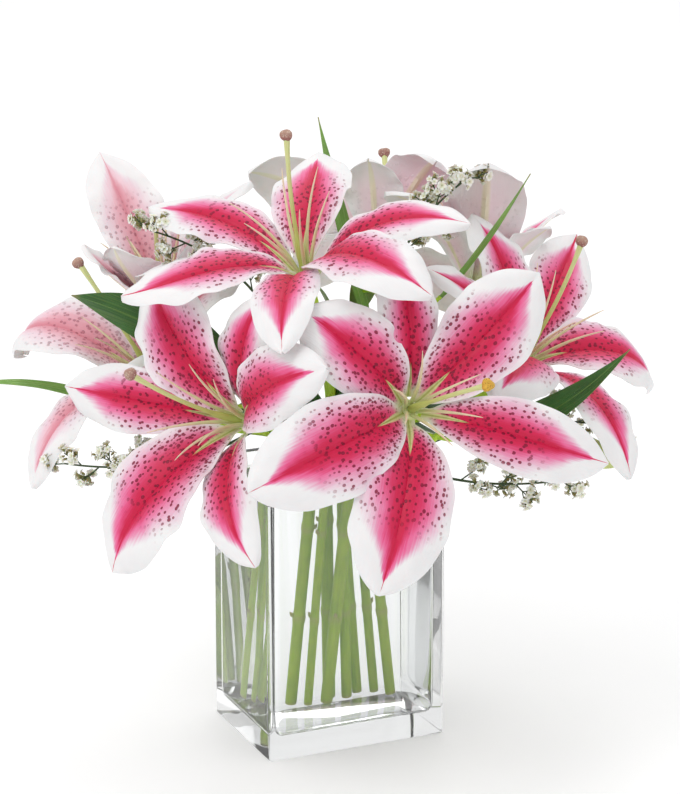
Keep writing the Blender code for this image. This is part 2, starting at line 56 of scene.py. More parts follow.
VASE_DEPTH = 80 * MM
VASE_HEIGHT = 152 * MM
PANE = 5 * MM
VASE_FLOOR = 12 * MM
OUTER_CORNER = 2.5 * MM
INNER_CORNER = 4 * MM
FLOOR_FILLET = 6 * MM
EDGE_EASE = 0.8 * MM
WATER_LEVEL = 143 * MM

# Stems
WAIST = 150 * MM  # height at which the stems leave the straight run in the vase
STEM_FOOT = VASE_FLOOR + 1.5 * MM
NODE_SWELL = 1.18
STEM_NODES = (0.36, 0.74)  # shares of the straight run
STEM_CURVE = 0.42  # how far the bend's handles reach, as a share of its span
STEM_TOP_RADIUS = 3.2 * MM

# Flowers
TEPAL_THICKNESS = 1.0 * MM
CLAW_RADIUS = 4.6 * MM
CLAW_WIDTH = 7.5 * MM
LAYER_STEP = 1.25 * MM  # each layer's claws stand this far outside the one before
LAYER_SETBACK = 0.8 * MM  # and start this much lower
RECEPTACLE_FOOT = -14 * MM
PISTIL_LENGTH = 76 * MM
YOUNG_PISTIL_LENGTH = 50 * MM
YOUNG_FLOWERS = ("back_left", "back_right")  # half open, with shorter pistils
PISTIL_LEAN = (2, 22)  # degrees from the axis, at its foot and its end
FILAMENT_LENGTH = 56 * MM

# Leaves, bud and filler
LEAF_START = 0.08  # how much of the blade's rounded outline is cut away at its root
LEAF_BULGE = 0.8  # under 1 puts the widest place nearer to the root
HANDLE = 0.67  # how far a curve's handles reach towards the point that bends it
LEAF_FOLD = 0.25
STALK_RADIUS = 1.8 * MM
BUD_STALK_CURVE = 0.4
BUD_STALK_HEADING = (0, -0.3, 0.9)

# angle towards which each pistil leans, in its flower's frame
PISTIL_DROOP = {
    "front": 0, "left": 130, "top": 100, "back_left": 60,
    "far_left": 180, "back": 60, "back_right": 280, "right": 60,
}

# flower: (centre x, y, z in mm), azimuth and elevation of its axis, and the cup
# that its tepals share: how far their midribs lean from the axis at the foot
# and half way, in degrees
FLOWERS = {
    "front": ((5, -95, 210), -95, 25, 35, 80),
    "left": ((-65, -35, 195), -160, 20, 35, 70),
    "top": ((-20, -15, 265), -155, 70, 35, 80),
    "back_left": ((-55, 100, 220), 150, 75, 25, 40),
    "far_left": ((-75, 65, 190), 175, 60, 35, 60),
    "back": ((55, 60, 250), 55, 20, 35, 65),
    "back_right": ((105, 30, 230), 60, 60, 25, 40),
    "right": ((100, -30, 205), -50, 55, 35, 75),
}

# flower: (foot x, y), (waist x, y), radius, all in mm
STEMS = {
    "front": ((-1, 19), (5, -12), 3.5),
    "left": ((-12, 19), (-8, -7), 2.4),
    "top": ((12, 22), (3, 1), 3.0),
    "back_left": ((3, 27), (-2, 14), 3.6),
    "far_left": ((-20, 26), (-12, 4), 3.3),
    "back": ((20, 28), (7, 17), 2.8),
    "back_right": ((29, 24), (13, 9), 2.6),
    "right": ((36, 15), (16, -4), 3.0),
}

# flower, tepal: layer, angle, length and width in mm, lean of the tip, sideways bend
TEPALS = {
    "front": {
        "upper": (2, 90, 80, 32, 100, 0),
        "upper_left": (1, 135, 80, 46, 110, 0),
        "left": (0, 200, 110, 52, 105, 0),
        "lower": (1, 250, 105, 54, 100, -5),
        "right": (2, 335, 105, 40, 95, 5),
        "upper_right": (0, 40, 100, 48, 105, 0),
    },
    "left": {
        "upper": (0, 135, 95, 50, 100, 0),
        "left": (2, 185, 105, 36, 90, 0),
        "lower_left": (0, 250, 110, 56, 115, 0),
        "lower": (2, 310, 95, 38, 120, 5),
        "right": (0, 30, 95, 44, 110, -5),
        "upper_right": (2, 75, 75, 34, 125, 15),
    },
    "top": {
        "left": (0, 240, 100, 46, 80, 0),
        "upper_left": (2, 180, 105, 38, 95, 5),
        "upper": (0, 120, 90, 44, 90, 5),
        "right": (2, 40, 95, 38, 110, -20),
        "lower_right": (0, 350, 110, 44, 125, 10),
        "lower": (2, 305, 100, 36, 120, 0),
    },
}

# flower, ring: layer, then angle, length, width and the midrib's lean half way
# and at the tip for each tepal
WHORLS = {
    "back_left": {
        "inner": (0, ((205, 100, 40, 30, 50), (325, 50, 40, 30, 0), (95, 85, 44, 45, 70))),
        "outer": (2, ((150, 65, 36, 45, 70), (275, 55, 34, 35, 15), (25, 55, 34, 45, 80))),
    },
    "far_left": {
        "inner": (0, ((215, 110, 46, 60, 160), (335, 60, 44, 50, 90), (90, 80, 44, 70, 105))),
        "outer": (2, ((165, 45, 30, 60, 90), (295, 105, 38, 85, 130), (35, 50, 30, 55, 80))),
    },
    "back": {
        "inner": (0, ((20, 90, 44, 65, 110), (125, 70, 40, 55, 150), (260, 85, 44, 60, 100))),
        "outer": (2, ((85, 50, 34, 65, 100), (225, 75, 34, 75, 110), (320, 85, 34, 60, 110))),
    },
    "back_right": {
        "inner": (0, ((95, 85, 46, 45, 80), (210, 70, 40, 40, 45), (330, 45, 36, 30, 45))),
        "outer": (2, ((155, 50, 28, 45, 65), (275, 85, 34, 45, 70), (40, 80, 34, 50, 95))),
    },
    "right": {
        "inner": (0, ((75, 85, 44, 60, 90), (190, 95, 44, 75, 120), (315, 90, 48, 75, 140))),
        "outer": (2, ((20, 100, 38, 70, 80), (130, 85, 34, 65, 90), (245, 105, 38, 80, 120))),
    },
}

# leaf: root, tip, width, rise of its middle, and the way its upper face looks
LEAVES = {
    "leaf_left": ((-50, 12, 204), (-130, 45, 250), 34, 5, (-0.2, -0.6, 0.8)),
    "leaf_thin_left": ((-92, 76, 172), (-172, 96, 191), 7, 6, (0, -0.5, 0.9)),
    "leaf_top": ((30, 18, 225), (20, 60, 330), 14, -6, (0.5, -0.8, 0.3)),
    "grass_right": ((57, -18, 243), (104, -32, 311), 5, -3, (0.5, -0.8, 0.3)),
    "leaf_right": ((58, -62, 178), (124, -112, 233), 17, -10, (-0.5, -0.6, 0.7)),
    "leaf_middle_left": ((-16, -12, 185), (-46, -8, 242), 20, 0, (-0.4, -0.9, 0.3)),
    "leaf_middle_right": ((16, -14, 185), (24, -22, 246), 18, 0, (0.2, -0.9, 0.3)),
}

# bud: root of its stalk, foot and tip of the bud, greatest radius
BUDS = {
    "bud_right": ((40, -40, 164), (92, -77, 178), (126, -102, 166), 8.5),
}

# sprig: root, handle, end of its main stalk, branches, their reach
SPRIGS = {
    "sprig_upper_left": ((-14, 22, 205), (-25, 30, 260), (-78, 62, 276), 8, 18),
    "sprig_left": ((-44, 4, 174), (-90, 4, 154), (-145, 20, 165), 8, 16),
    "sprig_middle": ((-16, -18, 190), (-32, -20, 222), (-52, -34, 236), 6, 12),
    "sprig_top": ((34, 10, 225), (48, 16, 275), (84, 4, 302), 8, 18),
    "sprig_right": ((42, -36, 168), (80, -60, 190), (130, -80, 180), 8, 18),
    "sprig_low": ((26, -36, 160), (50, -70, 150), (92, -98, 160), 8, 14),
}

# Fine shape of the tepals
FINE_ROWS = 54
FINE_COLUMNS = 28
TIP_WIDTH = 1.2 * MM
DEPTHS_FOR = 46  # mm, the width of tepal that the depths below are meant for
RUFFLES = 3.2  # waves along a margin
RUFFLE_DEPTH = 2.1 * MM
GROOVE_DEPTH = 1.1 * MM
GROOVE_WIDTH = 1.7 * MM
ROLL_DEPTH = 5 * MM  # how far the margins turn back
PILLOW_DEPTH = 1.8 * MM  # how far each half swells

# Fine shape of the rest
RUN_STEPS = 60  # along a stem's straight run
BEND_STEPS = 40  # along its curve up to the flower
BLADE_ROWS = 48
BLADE_COLUMNS = 16
BLADE_THICKNESS = 0.7 * MM
WATER_OVERLAP = 0.15 * MM  # how far the water reaches into the glass
WATER_CLIMB = 1.3 * MM  # how far it climbs the walls
SOFT_REACH = 0.002  # how deep light spreads in soft tissue

# how strong the pink of each flower is, where it isn't full
BLUSH = {"back_left": 0.35, "far_left": 0.4, "back": 0.35}
DUSTED = ("front",)  # flowers with pollen on their stigma
LIGHT_LEAVES = ("leaf_thin_left", "grass_right", "leaf_top")

# Studio: azimuths are measured from the front, towards +X
VIEW_TARGET = (0.0057, -0.0025, 0.1896)
CAMERA_AZIMUTH = -23.6
CAMERA_ELEVATION = 17.7
CAMERA_DISTANCE = 2.03
CAMERA_LENS = 170
CAMERA_SENSOR = 36
WORLD_STRENGTH = 0.84
FLOOR_GLOW = 0.16
FLOOR_REACH = 9
FLOOR_GAP = 0.2 * MM  # between the vase and the floor
# lamp: azimuth, elevation, distance, size, power, colour
LAMPS = {
    "key": (-70, 50, 2.2, 1.0, 12, (1, 0.985, 0.97)),
    "fill": (30, 22, 2.4, 1.6, 2, (0.98, 0.99, 1)),
    "top": (150, 60, 2.2, 1.2, 8, (1, 1, 1)),
}


# -------- materials


class Graph:
    """A material's nodes, with short calls for the ones used here."""

    def __init__(self, name, gloss=0.5, soft=0.0, **constants):
        """gloss is the specular level, and soft is how much light spreads under the surface."""
        self.material = bpy.data.materials.new(name)
        self.material.use_nodes = True
        self.tree = self.material.node_tree
        self.shader = self.tree.nodes["Principled BSDF"]
        constants["Specular_IOR_Level"] = gloss
        if soft:
            constants.update(Subsurface_Weight=soft, Subsurface_Scale=SOFT_REACH)
        for socket, value in constants.items():
            self.shader.inputs[socket.replace("_", " ")].default_value = value

    def feed(self, socket, value):
        if isinstance(value, bpy.types.NodeSocket):
            self.tree.links.new(value, socket)
        else:
            socket.default_value = value

    def add(self, kind, feeds=(), **settings):
        node = self.tree.nodes.new(kind)
        for key, value in settings.items():
            setattr(node, key, value)
        for socket, value in dict(feeds).items():
            self.feed(node.inputs[socket], value)
        return node

    def fact(self, name):
        return self.add("ShaderNodeAttribute", attribute_name=name).outputs["Fac"]

    def place(self, *stretches):
        """The point's place on its piece, stretched, and moved by the piece's own number."""
        place = self.add("ShaderNodeAttribute", attribute_name="place").outputs["Vector"]
        parts = self.add("ShaderNodeSeparateXYZ", {"Vector": place}).outputs
        moved = []
        for part, apart, stretch in zip(parts, (37.0, 53.0), stretches):
            shifted = self.scaled(parts[2], apart, part)
            moved.append(self.math("MULTIPLY", shifted, stretch))
        return self.add("ShaderNodeCombineXYZ", {0: moved[0], 1: moved[1]}).outputs[0]

    def math(self, operation, first, second=0.0, third=0.0):
        node = self.add("ShaderNodeMath", {0: first, 1: second, 2: third}, operation=operation)
        return node.outputs[0]

    def scaled(self, value, times, plus):
        return self.math("MULTIPLY_ADD", value, times, plus)

    def between(self, value, none, full):
        """0 at none and 1 at full, with a soft rise from one to the other."""
        feeds = {"Value": value, "From Min": none, "From Max": full}
        node = self.add("ShaderNodeMapRange", feeds, interpolation_type="SMOOTHSTEP")
        return node.outputs[0]

    def curve(self, value, *stops):
        """A number read off straight lines through (value, number) stops."""
        ramp = self.add("ShaderNodeValToRGB", {"Fac": value})
        elements = ramp.color_ramp.elements
        while len(elements) < len(stops):
            elements.new(0.5)
        for element, (position, number) in zip(elements, stops):
            element.position = position
            element.color = (number, number, number, 1)
        return ramp.outputs[0]

    def mix(self, amount, first, second):
        node = self.add("ShaderNodeMix", data_type="RGBA")
        self.feed(node.inputs[0], amount)
        for socket, value in ((node.inputs[6], first), (node.inputs[7], second)):
            self.feed(socket, (*value, 1) if isinstance(value, tuple) else value)
        return node.outputs[2]

    def product(self, *values):
        product = values[0]
        for value in values[1:]:
            product = self.math("MULTIPLY", product, value)
        return product

    def paint(self, under, over, *amounts):
        """One colour laid over another, as strongly as the amounts multiplied."""
        return self.mix(self.product(*amounts), under, over)

    def noise(self, vector, scale, detail):
        node = self.add("ShaderNodeTexNoise", {"Vector": vector, "Scale": scale, "Detail": detail})
        return node.outputs[0]

    def grain(self, across, along, detail):
        """Noise on a piece, with this many grains to a mm across it and along it."""
        return self.noise(self.place(across, along), 1.0, detail)

    def cells(self, across, along):
        """Distance to the nearest scattered point, and a random number for that point."""
        feeds = {"Vector": self.place(across, along), "Scale": 1.0}
        node = self.add("ShaderNodeTexVoronoi", feeds, voronoi_dimensions="2D")
        own = self.add("ShaderNodeSeparateColor", {"Color": node.outputs["Color"]})
        return node.outputs["Distance"], own.outputs[0]

    def finish(self, colour=None, roughness=None, height=None, depth=1.0):
        """Colour and roughness into the shader, and a height in mm into its bump."""
        if colour is not None:
            self.feed(self.shader.inputs["Base Color"], colour)
        if roughness is not None:
            self.feed(self.shader.inputs["Roughness"], roughness)
        if height is not None:
            feeds = {"Height": height, "Strength": 1.0, "Distance": depth * MM}
            bump = self.add("ShaderNodeBump", feeds)
            self.feed(self.shader.inputs["Normal"], bump.outputs[0])
        return self.material


def spot_mask(graph, width, length, radius, crowd):
    """Round spots scattered over the tepal, width and length apart in mm."""
    distance, own = graph.cells(1 / width, 1 / length)
    size = graph.scaled(own, radius * 0.7, radius * 0.65)
    spots = graph.between(graph.math("DIVIDE", distance, size), 1.1, 0.85)
    return graph.product(spots, graph.between(own, 1 - crowd - 0.02, 1 - crowd + 0.02))


def petal_material():
    g = Graph("petal", 0.32, 0.14)
    g.shader.inputs["Subsurface Radius"].default_value = (1.0, 0.5, 0.45)
    along, inner, blush = g.fact("along"), g.fact("inner"), g.fact("blush")
    aside = g.math("ABSOLUTE", g.fact("across"))
    streaks = g.grain(1.3, 0.05, 3.0)
    clouds = g.grain(0.09, 0.06, 2.0)
    fray = g.scaled(streaks, 0.22, -0.11)
    drift = g.scaled(clouds, 0.26, -0.13)
    edge = g.math("ADD", g.math("ADD", aside, fray), drift)

    pink_width = g.curve(along, (0, 0.6), (0.15, 0.9), (0.5, 0.92), (0.68, 0.66), (0.84, 0.24), (0.94, 0))
    red_width = g.curve(along, (0, 0.2), (0.14, 0.5), (0.34, 0.6), (0.55, 0.42), (0.74, 0.18), (0.9, 0))
    pinkness = g.math("DIVIDE", edge, g.math("MAXIMUM", pink_width, 0.01))
    pink = g.product(g.between(pinkness, 1.25, 0.6), g.between(along, -0.12, 0.14))
    red = g.between(g.math("DIVIDE", edge, g.math("MAXIMUM", red_width, 0.01)), 1.35, 0.3)
    striped = g.curve(along, (0.1, 0), (0.3, 1), (0.74, 1), (0.86, 0))
    stripe = g.product(g.between(aside, 0.16, 0.0), striped)

    white = g.mix(clouds, (0.76, 0.745, 0.755), (0.85, 0.84, 0.84))
    blushing = g.mix(g.between(pinkness, 1.0, 0.3), (0.74, 0.38, 0.54), (0.76, 0.10, 0.27))
    crimson = g.mix(streaks, (0.66, 0.010, 0.085), (0.50, 0.005, 0.045))
    face = g.paint(white, blushing, pink, blush)
    face = g.paint(face, crimson, red, blush, g.between(along, 0.07, 0.24))
    face = g.paint(face, (0.56, 0.004, 0.05), stripe, blush, 0.45)

    spotted = g.curve(along, (0.02, 0), (0.08, 1), (0.56, 1), (0.7, 0))
    spotted = g.product(g.between(aside, 0.92, 0.8), spotted)
    large = spot_mask(g, 3.0, 3.8, 0.22, 0.9)
    small = g.product(spot_mask(g, 2.0, 3.0, 0.2, 0.85), g.between(along, 0.42, 0.24))
    spots = g.product(g.math("MAXIMUM", large, small), spotted)
    faint = g.scaled(blush, 0.8, 0.1)
    face = g.paint(face, (0.22, 0.002, 0.03), spots, faint)

    throat = g.between(along, 0.12, 0.02)
    face = g.paint(face, (0.78, 0.78, 0.58), throat, 0.9)
    furrow_width = g.curve(along, (0, 0.6), (0.08, 0.3), (0.17, 0.12), (0.27, 0))
    furrow_edge = g.math("DIVIDE", aside, g.math("MAXIMUM", furrow_width, 0.004))
    furrow = g.product(g.between(furrow_edge, 1.15, 0.7), g.between(along, 0.28, 0.22))
    groove = g.mix(g.between(furrow_edge, 0.5, 0.1), (0.66, 0.68, 0.34), (0.42, 0.48, 0.12))
    face = g.paint(face, groove, furrow, 0.95)

    showing = g.curve(along, (0, 0.8), (0.6, 0.45), (0.9, 0))
    back = g.paint(white, (0.84, 0.52, 0.62), g.between(edge, 1.0, 0.1), showing)
    rib = g.product(g.between(aside, 0.13, 0.05), g.curve(along, (0, 1), (0.6, 0.8), (1, 0.6)))
    back = g.paint(back, (0.74, 0.72, 0.42), rib, 0.75)
    back = g.mix(g.between(along, 0.22, 0.02), back, (0.62, 0.70, 0.36))

    height = g.scaled(spots, 0.55, g.product(streaks, 0.3))
    rough = g.scaled(streaks, 0.2, 0.36)
    return g.finish(g.mix(inner, back, face), rough, height, 0.7)


def stem_material(name, fresh, dark, scar):
    """A stalk with fine ribs along it, duller patches and dry rings at its nodes."""
    g = Graph(name, 0.4, 0.08)
    ribs = g.grain(2.2, 0.05, 2.0)
    patches = g.grain(0.2, 0.06, 3.0)
    specks, own = g.cells(0.45, 0.3)
    colour = g.mix(g.between(patches, 0.35, 0.75), fresh, dark)
    colour = g.paint(colour, tuple(1.25 * c for c in fresh), g.between(ribs, 0.45, 0.7), 0.45)
    colour = g.paint(colour, scar, g.between(specks, 0.14, 0.05), own)
    colour = g.mix(g.fact("across"), colour, scar)
    return g.finish(colour, g.scaled(patches, 0.25, 0.3), ribs, 0.35)


def leaf_material(name, upper, lower, vein):
    """A blade with veins along it, lighter at its midrib and on its under face."""
    g = Graph(name, 0.45, 0.06)
    aside = g.math("ABSOLUTE", g.fact("across"))
    veins = g.grain(1.6, 0.02, 1.0)
    patches = g.grain(0.12, 0.05, 3.0)
    top = g.mix(g.between(patches, 0.3, 0.75), upper, tuple(1.5 * c for c in upper))
    colour = g.mix(g.fact("inner"), lower, top)
    colour = g.paint(colour, vein, g.between(veins, 0.5, 0.66), 0.4)
    colour = g.paint(colour, vein, g.between(aside, 0.07, 0.02), 0.7)
    colour = g.paint(colour, (0.30, 0.22, 0.08), g.between(g.fact("along"), 0.93, 1.0), 0.6)
    return g.finish(colour, g.scaled(veins, 0.22, 0.26), veins, 0.5)


def tissue_material(name, near, far, speck=None, roughness=0.42):
    """Pale soft tissue that changes colour from its foot to its end."""
    g = Graph(name, 0.35, 0.12)
    grain = g.grain(0.9, 0.12, 3.0)
    colour = g.mix(g.between(g.fact("along"), 0.1, 0.9), near, far)
    colour = g.paint(colour, tuple(0.7 * c for c in near), g.between(grain, 0.4, 0.75), 0.35)
    if speck:
        distance, own = g.cells(0.9, 0.9)
        colour = g.paint(colour, speck, g.between(distance, 0.4, 0.1), own)
    return g.finish(colour, g.scaled(grain, 0.2, roughness - 0.1), grain, 0.3)


def bud_material():
    g = Graph("bud", 0.4, 0.1)
    seams = g.math("ABSOLUTE", g.math("SINE", g.math("MULTIPLY", g.fact("across"), 3 * math.pi)))
    grain = g.grain(0.9, 0.05, 3.0)
    colour = g.mix(g.between(g.fact("along"), 0.05, 0.95), (0.30, 0.42, 0.06), (0.56, 0.62, 0.20))
    colour = g.paint(colour, (0.18, 0.27, 0.03), g.between(seams, 0.35, 0.05), 0.75)
    colour = g.paint(colour, (0.70, 0.72, 0.38), g.between(grain, 0.45, 0.7), 0.35)
    return g.finish(colour, g.scaled(grain, 0.2, 0.3), grain, 0.5)


def clear_material(name, tint, ior, wave_size, wave_depth):
    """Clear glass or water with faint waves. Rays from lamps pass straight through."""
    g = Graph(name, Transmission_Weight=1.0, Roughness=0.0, IOR=ior)
    g.shader.inputs["Base Color"].default_value = (*tint, 1)
    where = g.add("ShaderNodeTexCoord").outputs["Object"]
    waves = g.noise(where, 1 / wave_size, 1.0)
    g.finish(height=waves, depth=wave_depth)
    open_way = g.add("ShaderNodeBsdfTransparent", {"Color": (*(c**0.5 for c in tint), 1)})
    lamp_ray = g.add("ShaderNodeLightPath").outputs["Is Shadow Ray"]
    mixed = g.add("ShaderNodeMixShader", {0: lamp_ray, 1: g.shader.outputs[0], 2: open_way.outputs[0]})
    g.feed(g.tree.nodes["Material Output"].inputs["Surface"], mixed.outputs[0])
    return g.material


def floor_material():
    g = Graph("pale_floor", 0.2, Emission_Color=(1, 1, 1, 1), Emission_Strength=FLOOR_GLOW)
    where = g.add("ShaderNodeTexCoord").outputs["Object"]
    grain = g.noise(where, 3.0, 3.0)
    return g.finish(g.mix(grain, (0.86, 0.86, 0.87), (0.90, 0.90, 0.90)), 0.55)


# -------- mesh building


def new_object(name, data):
    made = bpy.data.objects.new(name, data)
    bpy.context.scene.collection.objects.link(made)
    return made


class Shape:
    """Gathers points, faces and facts, and makes one piece of them."""

    def __init__(self):
        self.points, self.faces, self.slots, self.facts = [], [], [], []
        self.count = 0

    def add(self, points, faces, facts, slot=0):
        points = np.asarray(points, float).reshape(-1, 3)
        self.points.append(points)
        self.facts.append(np.asarray(facts, float).reshape(len(points), 7))
        self.faces += [[index + self.count for index in face] for face in faces]
        self.slots += [slot] * len(faces)
        self.count += len(points)

    def make(self, name, materials, record_slot, *nodes):
        mesh = bpy.data.meshes.new(name)
        mesh.from_pydata(np.concatenate(self.points).tolist(), [], self.faces)
        mesh.polygons.foreach_set("material_index", self.slots)
        mesh.shade_smooth()
        mesh.set_sharp_from_angle(angle=math.radians(60))
        facts = np.concatenate(self.facts).astype(np.float32)
        place = mesh.attributes.new("place", "FLOAT_VECTOR", "POINT")
        place.data.foreach_set("vector", facts[:, :3].ravel())
        for column, fact in enumerate(("along", "across", "inner", "blush")):
            made = mesh.attributes.new(fact, "FLOAT", "POINT")
            made.data.foreach_set("value", np.ascontiguousarray(facts[:, 3 + column]))
        for material in materials:
            mesh.materials.append(material)
        piece = new_object(name, mesh)
        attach(piece, "root")
        if nodes:
            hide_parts(*nodes)
        return piece


def facts_of(place_x, place_y, own, along, across, inner, blush):
    """One row of facts for each point."""
    columns = np.broadcast_arrays(place_x, place_y, own, along, across, inner, blush)
    return np.stack([column.ravel() for column in columns], axis=1)


def add_sheet(shape, middle, thickness, facts, slot=0):
    """A closed thin sheet round a grid of points: an upper face, a lower face and a rim."""
    rows, columns = middle.shape[:2]
    normal = np.cross(np.gradient(middle, axis=0), np.gradient(middle, axis=1))
    normal /= np.linalg.norm(normal, axis=2, keepdims=True) + 1e-12
    half = normal * np.asarray(thickness)[..., None] / 2
    upper, lower = middle + half, middle - half
    index = np.arange(rows * columns).reshape(rows, columns)
    a, b = index[:-1, :-1].ravel(), index[1:, :-1].ravel()
    c, d = index[1:, 1:].ravel(), index[:-1, 1:].ravel()
    below = rows * columns
    faces = np.stack([a, b, c, d], 1).tolist()
    faces += (np.stack([a, d, c, b], 1) + below).tolist()
    border = list(index[0]) + list(index[1:, -1]) + list(index[-1, -2::-1]) + list(index[-2:0:-1, 0])
    for p, q in zip(border, border[1:] + border[:1]):
        faces.append([int(p), int(q), int(q) + below, int(p) + below])
    under = facts.copy()
    under[:, 5] = 0
    points = np.concatenate([upper.reshape(-1, 3), lower.reshape(-1, 3)])
    shape.add(points, faces, np.concatenate([facts, under]), slot)


def add_rings(shape, rings, facts, slot=0):
    """Rings of as many points each, joined by side faces and closed at both ends."""
    rings = np.asarray(rings, float)
    count, sides = rings.shape[:2]
    faces = []
    for lower in range(count - 1):
        for i in range(sides):
            after = (i + 1) % sides
            foot, head = lower * sides, (lower + 1) * sides
            faces.append([foot + i, foot + after, head + after, head + i])
    faces.append(list(range(sides))[::-1])
    faces.append([(count - 1) * sides + i for i in range(sides)])
    shape.add(rings, faces, facts, slot)


def tube_rings(path, radii, sides, lobes=0, lobe_depth=0.0):
    """Rings square to a path, turned as little as can be from one to the next."""
    path = [Vector(point) for point in path]
    direction = (path[1] - path[0]).normalized()
    across = direction.orthogonal().normalized()
    rings = []
    for i, centre in enumerate(path):
        before, after = path[max(i - 1, 0)], path[min(i + 1, len(path) - 1)]
        direction = (after - before).normalized()
        across = (across - direction * across.dot(direction)).normalized()
        other = direction.cross(across)
        ring = []
        for k in range(sides):
            turn = 2 * math.pi * k / sides
            reach = radii[i] * (1 + lobe_depth * math.cos(lobes * turn))
            ring.append(centre + (across * math.cos(turn) + other * math.sin(turn)) * reach)
        rings.append(ring)
    return np.array(rings)


def add_tube(shape, path, radii, sides, own, slot, scars=None, lobes=0, lobe_depth=0.0):
    """A round stalk along a path. scars says how dry each of its rings is."""
    rings = tube_rings(path, radii, sides, lobes, lobe_depth)
    steps = np.linalg.norm(np.diff(np.array(path), axis=0), axis=1)
    travelled = np.concatenate([[0], np.cumsum(steps)])
    share = travelled / max(travelled[-1], 1e-9)
    turn = np.arange(sides) / sides
    size = 2 * math.pi * max(radii) / MM
    dry = np.zeros(len(path)) if scars is None else np.asarray(scars, float)
    round_it = np.abs(turn[None, :] - 0.5) * size
    facts = facts_of(round_it, travelled[:, None] / MM, own, share[:, None], dry[:, None], 1, 1)
    add_rings(shape, rings, facts, slot)


def bezier(start, start_handle, end_handle, end, steps):
    points = []
    for i in range(steps + 1):
        share = i / steps
        rest = 1 - share
        near = start * rest**3 + start_handle * (3 * rest**2 * share)
        points.append(near + end_handle * (3 * rest * share**2) + end * share**3)
    return points


def mm(*values):
    return Vector(values) * MM


def level(turn):
    return Vector((math.cos(turn), math.sin(turn), 0))


def beside(direction, turn, axis=None):
    """A direction square to this one, turned round it or round a named axis."""
    side = direction.orthogonal().normalized()
    side.rotate(Matrix.Rotation(turn, 3, axis or direction))
    return side


def on_path(path, share):
    """The point that far along a path, and the way that the path runs there."""
    steps = len(path) - 1
    k = min(steps - 1, int(share * steps))
    return path[k].lerp(path[k + 1], share * steps - k), (path[k + 1] - path[k]).normalized()


# -------- flowers


def flower_axes(flower):
    _, azimuth, elevation, _, _ = FLOWERS[flower]
    azimuth, elevation = math.radians(azimuth), math.radians(elevation)
    axis = level(azimuth) * math.cos(elevation) + UP * math.sin(elevation)
    upward = (UP - axis * axis.z).normalized()
    return upward.cross(axis), upward, axis


def flower_matrix(flower):
    side, upward, axis = flower_axes(flower)
    turned = Matrix((side, upward, axis)).transposed().to_4x4()
    return Matrix.Translation(mm(*FLOWERS[flower][0])) @ turned


def in_world(flower, points):
    """Points of a flower's own frame, moved to the whole object's."""
    matrix = np.array(flower_matrix(flower))
    return points @ matrix[:3, :3].T + matrix[:3, 3]


def waves(share, cycles, chance):
    """An uneven ripple along a margin."""
    ripple = np.zeros_like(share)
    for part, size in ((1.0, 0.7), (1.73, 0.35), (2.9, 0.08)):
        pace = cycles * part * chance.uniform(0.85, 1.15)
        ripple += size * np.sin(2 * math.pi * (pace * share + chance.uniform(0, 1)))
    return ripple


def half_width(share, width):
    """Half width in metres along a tepal: a narrow claw, a broad blade and a drawn-out tip."""
    rise, fall = 0.95, 0.7
    peak = rise / (rise + fall)
    blade = (share**rise * (1 - share) ** fall) / (peak**rise * (1 - peak) ** fall)
    return np.maximum(width * MM / 2 * blade, CLAW_WIDTH / 2 * (1 - share) ** 3)


